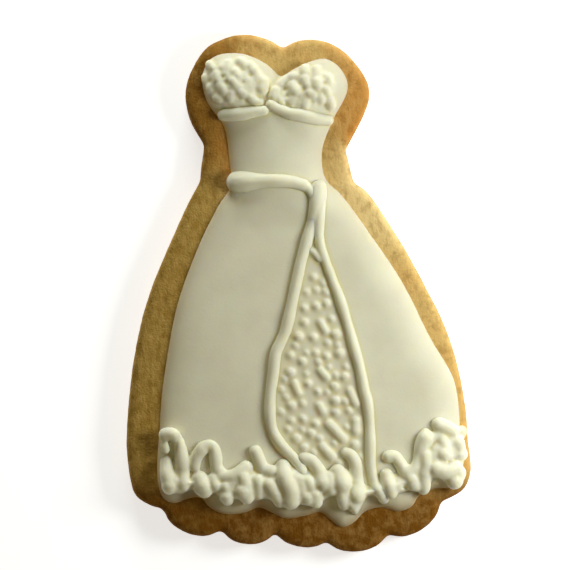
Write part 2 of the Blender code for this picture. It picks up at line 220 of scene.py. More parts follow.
def one_skin(shape, voxel, rounds):
    """A bmesh with one smooth skin over all that the given one holds."""
    mesh = bpy.data.meshes.new("rough")
    shape.to_mesh(mesh)
    shape.free()
    carrier = bpy.data.objects.new("rough", mesh)
    bpy.context.scene.collection.objects.link(carrier)
    remesh = carrier.modifiers.new("One skin", "REMESH")
    remesh.mode = "VOXEL"
    remesh.voxel_size = voxel
    depsgraph = bpy.context.evaluated_depsgraph_get()
    skin = bpy.data.meshes.new_from_object(carrier.evaluated_get(depsgraph))
    bpy.data.objects.remove(carrier)
    shape = bmesh.new()
    shape.from_mesh(skin)
    bpy.data.meshes.remove(mesh)
    bpy.data.meshes.remove(skin)
    smooth_out(shape, rounds)
    return shape


def cut_flat(shape, floor):
    """Cuts off what lies under the floor and closes the underside with one face."""
    everything = shape.verts[:] + shape.edges[:] + shape.faces[:]
    bmesh.ops.bisect_plane(
        shape, geom=everything, plane_co=(0, 0, floor), plane_no=(0, 0, 1), clear_inner=True
    )
    rims = [edge for edge in shape.edges if edge.is_boundary]
    bmesh.ops.edgeloop_fill(shape, edges=rims)
    bmesh.ops.recalc_face_normals(shape, faces=shape.faces)


trial = one_skin(trial, 0.4, 1)
print("the skin over it has", len(trial.faces), "faces")
trial.free()

# %% [markdown]
# ## Shader maths
#
# Finishes are formulas: brown grows towards the rim, specks sit where the grain is low. They could
# be built node by node, but a formula is hard to read that way. A small class wraps a node's output
# instead, and lets it take part in plain arithmetic.

# %% A wire that can be calculated with
class Wire:
    """The output of a node. Arithmetic on it adds the Math nodes that work it out."""

    def __init__(self, tree, socket):
        self.tree = tree
        self.socket = socket

    def node(self, kind, settings=None, values=None, output=0):
        return add_node(self.tree, kind, settings, values, output)

    def math(self, operation, *others, clamp=False):
        settings = {"operation": operation, "use_clamp": clamp}
        return self.node("ShaderNodeMath", settings, dict(enumerate((self,) + others)))

    def __add__(self, other):
        return self.math("ADD", other)

    __radd__ = __add__

    def __mul__(self, other):
        return self.math("MULTIPLY", other)

    def __sub__(self, other):
        return self.math("SUBTRACT", other)

    def __rsub__(self, other):
        return (self * -1.0).math("ADD", other)

    def clamp(self):
        return self.math("ADD", 0.0, clamp=True)

    def ramp(self, low, high):
        """0 below `low` and 1 above `high`, eased between them; `low` may be the larger."""
        settings = {"interpolation_type": "SMOOTHSTEP"}
        limits = {"Value": self, "From Min": low, "From Max": high}
        return self.node("ShaderNodeMapRange", settings, limits)


def add_node(tree, kind, settings=None, values=None, output=0):
    """Any node: its settings first, then the values or wires of its sockets."""
    node = tree.nodes.new(kind)
    for name, value in (settings or {}).items():
        setattr(node, name, value)
    for name, value in (values or {}).items():
        if isinstance(value, Wire):
            tree.links.new(value.socket, node.inputs[name])
        else:
            node.inputs[name].default_value = value
    return Wire(tree, node.outputs[output])


print("a wire takes part in sums and products, and has a clamp and a ramp")

# %% Places, colours, grain and relief
def start_material(name):
    """A material, its surface, and the place on the object in mm as a vector and three wires."""
    material = bpy.data.materials.new(name)
    material.use_nodes = True
    tree = material.node_tree
    surface = tree.nodes["Principled BSDF"]
    place_wire = add_node(tree, "ShaderNodeTexCoord", output=3)
    scale = {0: place_wire, "Scale": 1 / MM}
    scaled = add_node(tree, "ShaderNodeVectorMath", {"operation": "SCALE"}, scale)
    parts = add_node(tree, "ShaderNodeSeparateXYZ", values={0: scaled})
    axes = [Wire(tree, output) for output in parts.socket.node.outputs]
    return material, surface, scaled, axes


def mix_colours(factor, first, second):
    """The first colour where the factor is 0 and the second where it is 1."""
    colours = {0: factor}
    for number, colour in ((6, first), (7, second)):
        colours[number] = colour if isinstance(colour, Wire) else (*colour, 1.0)
    return factor.node("ShaderNodeMix", {"data_type": "RGBA"}, colours, output=2)


def grain(place_wire, scale, detail=3.0, roughness=0.55):
    """Cloudy noise from 0 to 1, with `scale` clouds to the millimetre."""
    values = {"Vector": place_wire, "Scale": scale, "Detail": detail, "Roughness": roughness}
    return place_wire.node("ShaderNodeTexNoise", values=values)


def set_bump(surface, height, distance):
    """Relief from a height wire, in metres of depth."""
    values = {"Height": height, "Distance": distance, "Strength": 1.0}
    bump = height.node("ShaderNodeBump", values=values)
    height.tree.links.new(bump.socket, surface.inputs["Normal"])


def set_wire(surface, name, wire):
    """Connects a wire to a socket of the surface."""
    wire.tree.links.new(wire.socket, surface.inputs[name])


trial, _, _, (trial_x, _, _) = start_material("trial")
before = len(trial.node_tree.nodes)
(1.0 - trial_x * 0.5).clamp()
print("one line of arithmetic adds", len(trial.node_tree.nodes) - before, "nodes")
bpy.data.materials.remove(trial)

# %% [markdown]
# ## Baked dough
#
# A sugar biscuit browns from its thin edge inwards. Here the right bust is orange and the right
# skirt golden. The left side is brown, partly from browning and partly as painted shade on the side
# away from the light, and the left lobe of the bust is darker still, partly browning and partly a
# painted shadow of the cups. The hem is dark brown, partly from browning and partly as painted
# shadow of the ruffle. The right shoulder, which faces both windows, is paler as painted light.
# Colours painted on the points of the mesh could show that too, but their edges would follow the
# mesh. So the large colour is mixed from masks that go by the place on the cookie, all of them
# blurred by a cloudy noise.
# Soft mottles, fine streaks and small pits come from noise at the size of crumbs, and the streaks
# fade at the hem.

# %% Colours of the dough and where they lie
GOLD = (0.76, 0.51, 0.175)
ORANGE = (0.64, 0.28, 0.055)
# Brown: partly browning and partly painted shade on the left side, away from the light.
BROWN_AND_SHADE = (0.42, 0.255, 0.05)
# Dark brown: browning at the rim and the hem, and also painted shadow of the ruffle at the hem and
# of the cups on the left lobe.
DARK_BROWN_AND_SHADE = (0.22, 0.085, 0.006)
# Painted light on the right shoulder, which faces both windows.
PAINTED_LIGHT = (0.96, 0.72, 0.32)
LIGHT_STREAK = (0.66, 0.42, 0.14)
DARK_STREAK = (0.30, 0.14, 0.03)
# Between which values of their noise the streaks set in.
LIGHT_STREAK_FADE = (0.50, 0.72)
DARK_STREAK_FADE = (0.48, 0.28)

# Where each mask sets in and where it is full, in millimetres from the middle of the cookie.
# The left side is partly browned and partly painted shade.
LEFT_FADE = (-12.0, -22.0)
BUST_FADE = (20.0, 34.0)
BUST_SIDES_FADE = (4.0, 14.0)
SKIRT_FADE = (-5.0, -25.0)
# The hem is partly browned and partly painted shadow of the ruffle.
HEM_FADE = (-38.0, -48.0)
# Where the painted light of the right shoulder lies.
SHOULDER_SIDE_FADE = (4.0, 12.0)
SHOULDER_TOP_FADE = (36.0, 28.0)
SHOULDER_FOOT_FADE = (6.0, 16.0)
# The same for the rim, in millimetres over the table.
RIM_FADE = (6.1, 4.2)

# How many clouds, mottles, streaks and crumbs there are to the millimetre.
CLOUDS, MOTTLES, STREAKS, CRUMBS = 0.09, 0.6, 0.9, 2.2
STREAK_STRETCH = (1.0, 0.4, 1.0)
CLOUD_BLUR, MOTTLE_BLUR = 12.0, 5.0
CRUMB_RELIEF = 0.25 * MM
sizes = [round(1 / number, 1) for number in (CLOUDS, MOTTLES, STREAKS, CRUMBS)]
print("clouds, mottles, streaks and crumbs measure", sizes, "mm")


# %% The dough's material
def baked_dough():
    """Every mask runs from 0 to 1, and the number it is multiplied by is its share in the mix."""
    material, surface, where, (x, y, z) = start_material("baked_dough")
    cloud = grain(where, CLOUDS, 2.0)
    mottle = grain(where, MOTTLES, 3.0, 0.5)
    crumb = grain(where, CRUMBS, 2.0, 0.5)
    stretch = {0: where, 1: STREAK_STRETCH}
    stretched = where.node("ShaderNodeVectorMath", {"operation": "MULTIPLY"}, stretch)
    streak = grain(stretched, STREAKS, 2.0, 0.5)
    wander = (cloud - 0.5) * CLOUD_BLUR + (mottle - 0.5) * MOTTLE_BLUR

    # The left side, which is partly painted shade.
    left = (x + wander).ramp(*LEFT_FADE)
    bust = (y + wander).ramp(*BUST_FADE) * (x.math("ABSOLUTE") + wander).ramp(*BUST_SIDES_FADE)
    # The hem: partly browning and partly painted shadow of the ruffle.
    hem = (y + wander).ramp(*HEM_FADE)
    edge = (z + mottle * 0.8).ramp(*RIM_FADE)
    low = (y + wander).ramp(*SKIRT_FADE)
    # Painted light on the right shoulder.
    lit_shoulder = (x + wander).ramp(*SHOULDER_SIDE_FADE) * (y + wander).ramp(*SHOULDER_TOP_FADE)
    lit_shoulder = lit_shoulder * (y + wander).ramp(*SHOULDER_FOOT_FADE)

    orange = bust * 0.9 + low * 0.35 + (cloud - 0.5) * 1.2
    colour = mix_colours(orange.clamp(), GOLD, ORANGE)
    colour = mix_colours(lit_shoulder * 0.7, colour, PAINTED_LIGHT)
    # Browner on the left: partly browning and partly painted shade.
    brown_and_shade = left * 0.9 + (mottle - 0.5) * 1.0
    colour = mix_colours(brown_and_shade.clamp(), colour, BROWN_AND_SHADE)
    # Darkest at the hem and on the left lobe: partly browning, partly painted shadow of the ruffle
    # and of the cups.
    dark_and_shade = hem * 0.9 + left * bust * 0.75 + edge * 0.4 + (mottle - 0.5) * 1.1
    colour = mix_colours(dark_and_shade.clamp(), colour, DARK_BROWN_AND_SHADE)
    light_streaks = streak.ramp(*LIGHT_STREAK_FADE) * 0.28 * (1.0 - hem * 0.8)
    colour = mix_colours(light_streaks, colour, LIGHT_STREAK)
    colour = mix_colours(streak.ramp(*DARK_STREAK_FADE) * 0.25, colour, DARK_STREAK)

    set_wire(surface, "Base Color", colour)
    set_wire(surface, "Roughness", 0.70 + mottle * 0.2)
    surface.inputs["Specular IOR Level"].default_value = 0.06
    set_bump(surface, crumb * 0.5 + streak * 0.8, CRUMB_RELIEF)
    return material


DOUGH = baked_dough()
print("made", DOUGH.name, "with", len(DOUGH.node_tree.nodes), "nodes")

# %% [markdown]
# ## The biscuit
#
# The dough is rolled flat and cut, and in the oven its cut edge sinks into a round rim while the
# top stays almost level. Here that is a plate whose rim is bevelled and then smoothed. Pushing the
# points about by noise gives soft swells and small crumbs as real relief, which a bump alone
# wouldn't show at the rim. The plate starts a little too low, and what is under the table is cut
# off at the end. Every finished piece hides the node of the measured model that it replaces.

# %% Finish a piece
FLAT_BELOW = -0.9


def finish_piece(name, shape, node, material):
    """Makes the bmesh an object and hides the part of the measured model it stands for."""
    for face in shape.faces:
        face.smooth = face.normal.z > FLAT_BELOW
    mesh = bpy.data.meshes.new(name)
    shape.to_mesh(mesh)
    shape.free()
    mesh.materials.append(material)
    piece = bpy.data.objects.new(name, mesh)
    bpy.context.scene.collection.objects.link(piece)
    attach(piece, "root")
    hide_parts(node)
    print(f"{name}: {len(mesh.vertices)} points")


print("faces that look down stay flat, all others are shaded smooth")

# %% Bake the biscuit
OUTLINE_STEP = 1.0 * MM
EXTRA_DEPTH = 1.0 * MM
RIM_ROUNDING = 1.5 * MM
BISCUIT_VOXEL = 0.55 * MM
BISCUIT_ROUNDS = 3
PLAIN_HEIGHT = 0.5 * MM
SWELLS_PER_METRE, CRUMBS_PER_METRE = 110, 700
SWELL_IN_MM, CRUMB_IN_MM = 0.14, 0.05


def bake_biscuit():
    """The cut dough, its top no higher than in the measured model."""
    shape = bmesh.new()
    outline = closed_outline(biscuit_strokes(), OUTLINE_STEP, BISCUIT_LOW.z - EXTRA_DEPTH)
    add_plate(shape, outline, BISCUIT_TOP - BISCUIT_LOW.z + EXTRA_DEPTH, RIM_ROUNDING)
    shape = one_skin(shape, BISCUIT_VOXEL, BISCUIT_ROUNDS)
    cut_flat(shape, BISCUIT_LOW.z)
    shape.normal_update()
    for vert in shape.verts:
        if vert.co.z < BISCUIT_LOW.z + PLAIN_HEIGHT:
            continue
        swell = noise.fractal(vert.co * SWELLS_PER_METRE, 0.9, 2.0, 3)
        crumbs = noise.fractal(vert.co * CRUMBS_PER_METRE, 0.8, 2.0, 3)
        vert.co += vert.normal * (SWELL_IN_MM * swell + CRUMB_IN_MM * crumbs) * MM
        vert.co.z = min(vert.co.z, BISCUIT_TOP)
    finish_piece("baked_biscuit", shape, "biscuit", DOUGH)


bake_biscuit()

# %% [markdown]
# ## Royal icing
#
# Royal icing dries to a hard ivory skin with a soft sheen. Light enters it a little before it comes
# back, so it gets some subsurface scattering: plain white paint would look like plaster. Where the
# flood runs out thin at its foot, the biscuit shows through as a brownish tone, and most of all at
# the hem, where that brown is also painted shadow of the ruffle. Valleys get a warmer painted shade
# than ridges, as told further down. The same icing is used for the flood and for all piping.

# %% Ivory icing
IVORY = (0.85, 0.83, 0.65)
IVORY_SHADE = (0.81, 0.78, 0.60)
# A warm painted shade for valleys and for the flood beside piped lines.
WARM_VALLEY_SHADE = (0.84, 0.76, 0.37)
# Brownish thin icing, which at the hem is also painted shadow of the ruffle.
THIN_ICING_AND_SHADOW = (0.50, 0.40, 0.22)
# Where the icing starts to look thin and where it fully does, in millimetres of z and of y. The y
# pair marks the hem, where the brown is also painted shadow of the ruffle.
THIN_FADE = (8.0, 6.4)
HEM_THIN_AND_SHADOW_FADE = (-40.0, -44.0)
ICING_CLOUDS, ICING_GRAIN = 0.12, 1.6
ICING_RELIEF = 0.03 * MM


def royal_icing():
    """Ivory with faint clouds, painted warm shade in the valleys, and brownish where it is thin,
    which at the hem is also painted shadow.
    """
    material, surface, where, (_, y, z) = start_material("royal_icing")
    cloud = grain(where, ICING_CLOUDS, 2.0)
    fine = grain(where, ICING_GRAIN, 3.0)
    colour = mix_colours(cloud.ramp(0.3, 0.7), IVORY_SHADE, IVORY)
    # Painted warm shade in the valleys and beside piped lines, kept on the points.
    valley = where.node("ShaderNodeAttribute", {"attribute_name": "valley"}, output=2)
    colour = mix_colours(valley * 0.65, colour, WARM_VALLEY_SHADE)
    # Brownish where the icing is thin, as the biscuit shows through; at the hem also painted shadow
    # of the ruffle.
    thin = z.ramp(*THIN_FADE) * (y.ramp(*HEM_THIN_AND_SHADOW_FADE) * 0.75 + 0.25)
    colour = mix_colours(thin * 0.8, colour, THIN_ICING_AND_SHADOW)
    set_wire(surface, "Base Color", colour)
    set_wire(surface, "Roughness", 0.50 + fine * 0.12)
    surface.inputs["Subsurface Weight"].default_value = 0.7
    surface.inputs["Subsurface Radius"].default_value = (1.0, 0.85, 0.42)
    surface.inputs["Subsurface Scale"].default_value = 1.4 * MM
    surface.inputs["Specular IOR Level"].default_value = 0.3
    set_bump(surface, fine, ICING_RELIEF)
    return material


ICING = royal_icing()
print("made", ICING.name, "with", len(ICING.node_tree.nodes), "nodes")

# %% [markdown]
# ## The flood
#
# Flooded icing is a liquid when it goes on. It draws back from its edge into a pillow: steep at the
# very rim, then flatter, and level only well inside. A fluid simulation could find that form, but a
# quarter of an ellipse over the distance to the edge comes close to it and can be asked anywhere.
# Two soft rises for the cups and a fuller bodice are added to it. Everything that is piped on the
# flood asks this function for its ground.

# %% Outline of the flood
CLEAVAGE = (281, 77.5)
CUP_RIGHT = [(302, 65), (325, 58.8), (342, 70.5), (347.8, 91), (333, 121)]
BODICE_RIGHT = [(322.6, 150), (325.5, 178), (342, 195.5)]
ICING_RIGHT = [
    (366, 228), (402, 281.5), (430, 337), (452, 375), (458.8, 408), (459.5, 440), (460, 464),
]
ICING_HEM = [
    (461.5, 477), (453, 487.5), (436, 488.5), (420, 494.5), (412, 506), (398, 511.3), (380, 507.2),
    (364, 512), (355, 521.5), (342.3, 527.4), (331, 520.5), (320, 512), (305, 515.8), (286, 518.4),
    (273, 513), (259, 507.4), (245, 512.6), (226, 514.2), (210.5, 508), (201, 497.8), (189, 498.4),
    (173, 503.2), (161, 494.5),
]
ICING_LEFT = [(157, 470), (159.4, 430), (163, 384), (176, 310), (196, 252), (216.5, 209)]
BODICE_LEFT = [(230, 186), (229, 160), (223.5, 127)]
CUP_LEFT = [(206.5, 102), (202.4, 75), (214.5, 56.5), (240, 53.4), (264, 62.5)]
FLOOD_EDGE = CUP_RIGHT + BODICE_RIGHT + ICING_RIGHT
FLOOD_EDGE += ICING_HEM + ICING_LEFT + BODICE_LEFT + CUP_LEFT
print(len(FLOOD_EDGE), "anchors around the flood")

# %% The pillow's height
RING_STEP = 0.3 * MM
FLOOD_RING = closed_outline([(CLEAVAGE, FLOOD_EDGE)], RING_STEP, 0.0)
PILLOW_WIDTH = 7.5 * MM
BODICE_EXTRA_WIDTH = 3.0 * MM
BODICE_CROWN = 1.0 * MM
HIP_LEVEL = place((0, 230)).y
FLOOD_FOOT = BISCUIT_TOP - 0.3 * MM
CREST = ICING_TOP + 0.1 * MM
CUP_CENTRES = [place((237, 82)), place((309, 88))]
CUP_RADIUS = 34 * GRID
CUP_RISE = 0.5 * MM


def edge_tree(ring):
    """A tree that finds the nearest of many points on the flat grid."""
    tree = kdtree.KDTree(len(ring))
    for number, point in enumerate(ring):
        tree.insert((point.x, point.y, 0.0), number)
    tree.balance()
    return tree


def soft_step(value):
    """0 up to 0 and 1 from 1 on, with an eased way between."""
    value = min(max(value, 0.0), 1.0)
    return value * value * (3 - 2 * value)


FLOOD_TREE = edge_tree(FLOOD_RING)


def flood_top(point):
    """Height of the flooded icing's surface over the table."""
    flat = Vector((point.x, point.y, 0.0))
    bodice = soft_step((point.y - HIP_LEVEL) / PILLOW_WIDTH)
    width = PILLOW_WIDTH + BODICE_EXTRA_WIDTH * bodice
    inward = min(FLOOD_TREE.find(flat)[2] / width, 1.0)
    crown = 1 - (1 - inward) ** 2
    pillow = math.sqrt(crown)
    cups = sum(soft_step(1 - (flat - centre).length / CUP_RADIUS) for centre in CUP_CENTRES)
    rise = (CREST - FLOOD_FOOT + CUP_RISE * cups) * pillow
    return FLOOD_FOOT + rise + BODICE_CROWN * bodice * crown


print(f"the flood is {(CREST - BISCUIT_TOP) / MM:.1f} mm thick at its crest")

# %% [markdown]
# ## Squiggles of the bust
#
# The bust is filled with short squiggles that lie so close that they melt into one bed, and only
# small pits between them still reach down to the flood. Squiggles alone would leave that bed full
# of holes. So the bed is raised as a part of the ground, the pits are pressed into it, and the
# squiggles are laid on top.

# %% Squiggles, pits and the bed of the bust
# Every squiggle is (radius, points), all on the grid.
SQUIGGLES = [
    (5.0, [(210, 65), (213, 69)]), (4.4, [(205, 78), (206, 82)]), (4.8, [(210, 88), (212, 92)]),
    (4.8, [(217, 75), (218, 80)]), (5.2, [(221, 86), (225, 92)]), (5.4, [(229, 64), (228, 70)]),
    (5.0, [(232, 94), (231, 99)]), (4.8, [(235, 73), (238, 77)]), (5.0, [(233, 82), (236, 86)]),
    (6.0, [(241, 63), (244, 66)]), (5.6, [(250, 66), (253, 71)]), (5.0, [(257, 76), (256, 80)]),
    (5.2, [(250, 82), (249, 87)]), (6.4, [(263, 83), (262, 90)]), (6.0, [(241, 93), (244, 95)]),
    (5.4, [(250, 98), (253, 101)]), (4.8, [(217, 98), (220, 99)]), (4.6, [(256, 103), (260, 103)]),
    (5.6, [(274, 98), (276, 92)]), (5.4, [(281, 86), (286, 81)]), (5.4, [(292, 78), (296, 78)]),
    (5.2, [(279, 100), (281, 103)]), (6.2, [(293, 87), (296, 93)]), (5.4, [(294, 100), (292, 104)]),
    (5.8, [(305, 70), (305, 73)]), (5.4, [(305, 80), (307, 86)]), (5.2, [(316, 70), (316, 77)]),
    (5.0, [(317, 83), (317, 87)]), (5.8, [(309, 94), (313, 96)]), (5.4, [(319, 97), (321, 100)]),
    (4.8, [(328, 79), (329, 84)]), (5.0, [(325, 90), (327, 94)]), (6.2, [(329, 101), (331, 106)]),
    (4.8, [(306, 103), (305, 106)]),
]
BUST_PITS = [
    (208, 77), (210, 82), (216, 66), (220, 72), (223, 78), (227, 84), (238, 64), (243, 70),
    (250, 76), (243, 84), (257, 91), (259, 97), (240, 98), (246, 101), (215, 104), (220, 106),
    (230, 104), (285, 91), (287, 97), (289, 105), (301, 72), (302, 77), (300, 85), (304, 91),
    (313, 84), (303, 104), (312, 102), (318, 105), (327, 110), (334, 97), (323, 78), (324, 85),
]
# Every bed is (middle, half width, half length).
BUST_BEDS = [((234, 83), 32, 26), ((304, 89), 33, 23)]
print(len(SQUIGGLES), "squiggles and", len(BUST_PITS), "pits on the bust")

# %% Height of the bust
PIT_RADIUS = 3.6 * GRID
BED_HEIGHT = 0.75 * MM
BED_EDGE = 0.3
BUST_PIT_TREE = edge_tree([place(pit) for pit in BUST_PITS])


def away_from_pits(point, pit_tree):
    """0 in the middle of a pit and 1 outside all pits."""
    return soft_step(pit_tree.find((point.x, point.y, 0.0))[2] / PIT_RADIUS)


def bust_top(point):
    """Height of the icing of the bust: the flood, a raised bed on both cups, and the pits."""
    bed = 0.0
    for centre, half_width, half_length in BUST_BEDS:
        offset = point - place(centre)
        share = math.hypot(offset.x / (half_width * GRID), offset.y / (half_length * GRID))
        bed = max(bed, soft_step((1 - share) / BED_EDGE))
    return flood_top(point) + BED_HEIGHT * bed * away_from_pits(point, BUST_PIT_TREE)


cup_height = bust_top(CUP_CENTRES[0]) - BISCUIT_TOP
print(f"the left cup stands {cup_height / MM:.1f} mm over the biscuit")

# %% [markdown]
# ## Squeezed lines
#
# A line from the piping bag is never quite even: it starts with a blob, and it swells and thins
# with the pressure of the hand. A tube swept along the curve would be lighter, but it folds in
# tight bends. A row of overlapping drops can bend, swell and sink as it likes, and the skin that is
# pulled over it makes it one line. Each drop asks the ground under it for its height.

# %% Drops and worms
DROP_STEP = 0.35
BLOB_FADE = 3.0
DRIFT_STEP = 0.09
DRIFT_RANGE = 100


def add_drop(shape, centre, radius):
    """A drop of icing: a small sphere."""
    place_drop = Matrix.Translation(centre)
    bmesh.ops.create_icosphere(shape, subdivisions=2, radius=radius, matrix=place_drop)


def pour(source, target):
    """Moves all of one bmesh into another."""
    mesh = bpy.data.meshes.new("poured")
    source.to_mesh(mesh)
    source.free()
    target.from_mesh(mesh)
    bpy.data.meshes.remove(mesh)


def add_worm(shape, anchors, radius, ground, lift, rng, unevenness=0.08, swell=1.0):
    """A squeezed line: drops along a smooth curve, `lift` radii over the ground.

    It starts with a blob `swell` times its radius, which fades over a few radii.
    """
    line = bmesh.new()
    path = smooth_path([place(point) for point in anchors], radius * DROP_STEP)
    drift = rng.uniform(0, DRIFT_RANGE)
    for number, point in enumerate(path):
        pressure = noise.noise(Vector((drift, number * DRIFT_STEP, 0.0)))
        blob = 1 + (swell - 1) * math.exp(-((number * DROP_STEP / BLOB_FADE) ** 2))
        drop_radius = radius * blob * (1 + unevenness * 2 * pressure)
        point.z = ground(point) + radius * lift + drop_radius * pressure * unevenness
        add_drop(line, point, drop_radius)
    pour(line, shape)


trial = bmesh.new()
add_drop(trial, Vector(), 1.0)
print("one drop has", len(trial.faces), "faces")
trial.free()

# %% [markdown]
# ## Piped lines
#
# Two bands run under the bust. The waist band turns down into the left drape in one squeeze, and
# the right drape comes up to meet it with a short join and, lower down, a small worm that crosses
# over. A few anchors for each are enough, because a hand pipes smooth curves.

# %% Lines of the bodice and the skirt
BUST_BAND_LEFT = [(224, 115.5), (233, 115), (243, 114.5), (254, 112.5), (264, 111.5)]
BUST_BAND_RIGHT = [(271, 106), (279, 110.5), (290, 114.5), (303, 116.5), (316, 119.5), (328, 120.5)]
SASH_LEFT = [
    (237.5, 182.5), (250, 182), (264, 181.5), (280, 181.5), (292, 182.5), (303, 185.5),
    (311, 192.5), (314.5, 202), (314.5, 212), (311.5, 224), (307.5, 238), (304, 250), (300.5, 263),
    (297.5, 277), (292.5, 300), (288.5, 319), (284.5, 333), (279.5, 344), (275.5, 354), (273, 374),
    (270.5, 393), (269.8, 410), (270.8, 423), (274, 433.5), (280, 443), (287, 451), (294, 458),
    (300, 465.5), (302, 470),
]
SASH_RIGHT = [
    (319, 188), (319.5, 198), (319, 210), (318.5, 222), (318.5, 234), (320.5, 246), (323.8, 257),
    (328.5, 270), (333.5, 284), (339.8, 300), (349, 330), (354.5, 350), (360, 370), (363.8, 390),
    (367, 402), (369, 420), (370, 440), (370, 458), (371, 470), (374.5, 483), (380, 492),
    (383.5, 498),
]
WAIST_JOIN = [(318, 189), (317, 198), (315.5, 207), (313.5, 216), (311, 226)]
CROSSING = [(309.5, 249.5), (314, 253), (319, 259)]
# From this anchor on, the waist band has turned and is the left drape.
LEFT_DRAPE = SASH_LEFT[7:]
PIPED_LINES = [BUST_BAND_LEFT, BUST_BAND_RIGHT, SASH_LEFT, SASH_RIGHT, WAIST_JOIN, CROSSING]
print(len(PIPED_LINES), "piped lines with", sum(len(line) for line in PIPED_LINES), "anchors")

# %% [markdown]
# ## Dots of the lace
#
# The panel between the drapes is dotted with lace. Its larger dots and short worms are placed one
# by one. The small ones between them have no pattern, so they are thrown at random and kept where
# they have room: an even grid of dots would look printed.

# %% Larger dots and worms of the lace
# In the form of the squiggles: (radius, points).
LACE = [
    (3.4, [(310, 251), (315, 254), (319, 259)]), (4.2, [(313, 277)]), (4.0, [(306, 292)]),
    (4.2, [(316, 290)]), (4.2, [(326, 303)]), (4.6, [(316, 306)]), (4.6, [(304, 308)]),
    (4.0, [(331, 319)]), (4.6, [(304, 322)]), (4.4, [(320, 322), (325, 331)]), (4.8, [(298, 336)]),
    (4.8, [(313, 337)]), (5.0, [(335, 334)]), (4.6, [(315, 352)]), (5.6, [(339, 353)]),
    (4.6, [(326, 356)]), (4.4, [(290, 355)]), (4.4, [(302, 361)]), (5.0, [(290, 372)]),
    (4.6, [(320, 370), (326, 377)]), (5.2, [(344, 376)]), (4.4, [(308, 383)]),
    (4.8, [(294, 383), (298, 393)]), (4.6, [(334, 386)]), (4.8, [(349, 390), (355, 403)]),
    (5.4, [(291, 405)]), (5.4, [(319, 405), (322, 411)]), (4.8, [(335, 400)]), (4.6, [(335, 412)]),
    (4.6, [(291, 420)]), (4.4, [(315, 423)]), (5.2, [(355, 420), (355, 430)]),
    (5.6, [(329, 424), (335, 430), (342, 438)]), (5.6, [(296, 438)]), (5.0, [(311, 433)]),
    (4.8, [(304, 447)]), (5.2, [(322, 446), (331, 456)]), (4.8, [(354, 444)]),
]
FILL_TRIES = 900
FILL_SPACING = 8.8
LACE_TOP, LACE_FOOT = 278, 462
LEFT_MARGIN, RIGHT_MARGIN = 9, 10


# %% Small dots that fill the lace
def across(line, level):
    """Where a piped line crosses a level of the grid, both being on the grid."""
    for start, end in zip(line, line[1:]):
        if start[1] <= level <= end[1]:
            return start[0] + (end[0] - start[0]) * (level - start[1]) / (end[1] - start[1])
    return line[-1][0]


def small_dots(rng):
    """Places for small dots between the larger ones, inside the two drapes."""
    taken = [Vector(point) for _, worm in LACE for point in worm]
    dots = []
    for _ in range(FILL_TRIES):
        level = rng.uniform(LACE_TOP, LACE_FOOT)
        low = across(LEFT_DRAPE, level) + LEFT_MARGIN
        high = across(SASH_RIGHT, level) - RIGHT_MARGIN
        spot = Vector((rng.uniform(low, max(low, high)), level))
        if all((spot - other).length > FILL_SPACING for other in taken):
            taken.append(spot)
            dots.append(spot)
    return dots


trial_dots = small_dots(random.Random(0))
print(len(LACE), "larger dots and worms, and", len(trial_dots), "small ones in a trial")

# %% [markdown]
# ## The body of the hem
#
# The ruffle is squeezed on in quick loops while the icing is still soft, so it melts into one thick
# body. Its upper side slopes gently onto the skirt, its lower side is a steep bank, and small pits
# stay open between the loops. Loops alone would show the skirt between them. So the body's height
# is a function again, of the distance to its upper and to its lower edge, and the drapes rest on it
# where they reach the hem.

# %% Edges and pits of the hem's body
BODY_TOP = [
    (162, 458), (176, 466), (192, 472), (210, 474), (228, 470), (244, 464), (262, 468), (282, 464),
    (300, 464), (318, 472), (334, 472), (350, 468), (364, 484), (384, 474), (402, 470), (414, 458),
    (428, 440), (446, 430),
]
BODY_FOOT = [
    (464, 448), (462, 470), (452, 487), (436, 477), (425, 490), (414, 489), (400, 493), (384, 498),
    (368, 496), (356, 515), (344, 505), (332, 496), (316, 505), (303, 503), (290, 507), (280, 506),
    (268, 499), (258, 500), (247, 502), (236, 499), (227, 502), (216, 494), (205, 494), (192, 490),
    (180, 494), (166, 492),
]
RUFFLE_PITS = [
    (204, 456), (171, 448), (174, 456), (176, 465), (212, 487), (216, 492), (248, 463), (249, 472),
    (250, 480), (266, 462), (276, 464), (276, 483), (330, 466), (350, 487), (351, 492), (362, 471),
    (363, 480), (406, 441), (409, 452), (411, 461), (448, 459), (454, 460), (438, 481), (444, 481),
    (394, 481), (237, 487), (268, 480), (309, 497), (323, 494), (336, 498), (192, 487), (221, 492),
    (238, 498), (404, 486), (433, 474),
]
BODY_TOP_RING = smooth_path([place(point) for point in BODY_TOP], RING_STEP)
BODY_RING = BODY_TOP_RING + smooth_path([place(point) for point in BODY_FOOT], RING_STEP)
BODY_TREE = edge_tree(BODY_RING)
RUFFLE_PIT_TREE = edge_tree([place(pit) for pit in RUFFLE_PITS])
print(len(BODY_RING), "points around the hem's body and", len(RUFFLE_PITS), "pits in it")

# %% Ground of the hem
BODY_HEIGHT = 2.15 * MM
BODY_SLOPE = 3.0 * MM
BANK_SLOPE = 0.9 * MM
BODY_REACH = 6.0 * MM
WORM_SHARE = 0.6


def ruffle_ground(point, share=1.0):
    """Height of a share of the hem's body over the flood. The ring's right side is inside."""
    near, number, distance = BODY_TREE.find((point.x, point.y, 0.0))
    along = BODY_RING[(number + 1) % len(BODY_RING)] - BODY_RING[number - 1]
    inside = along.y * (point.x - near.x) - along.x * (point.y - near.y) > 0
    slope = BODY_SLOPE if number < len(BODY_TOP_RING) else BANK_SLOPE
    rise = soft_step(distance / slope) if inside and distance < BODY_REACH else 0.0
    return flood_top(point) + BODY_HEIGHT * rise * share


def worm_ground(point):
    """The loops are half sunk into the body, while their upper ends stand on the flood."""
    return ruffle_ground(point, WORM_SHARE)


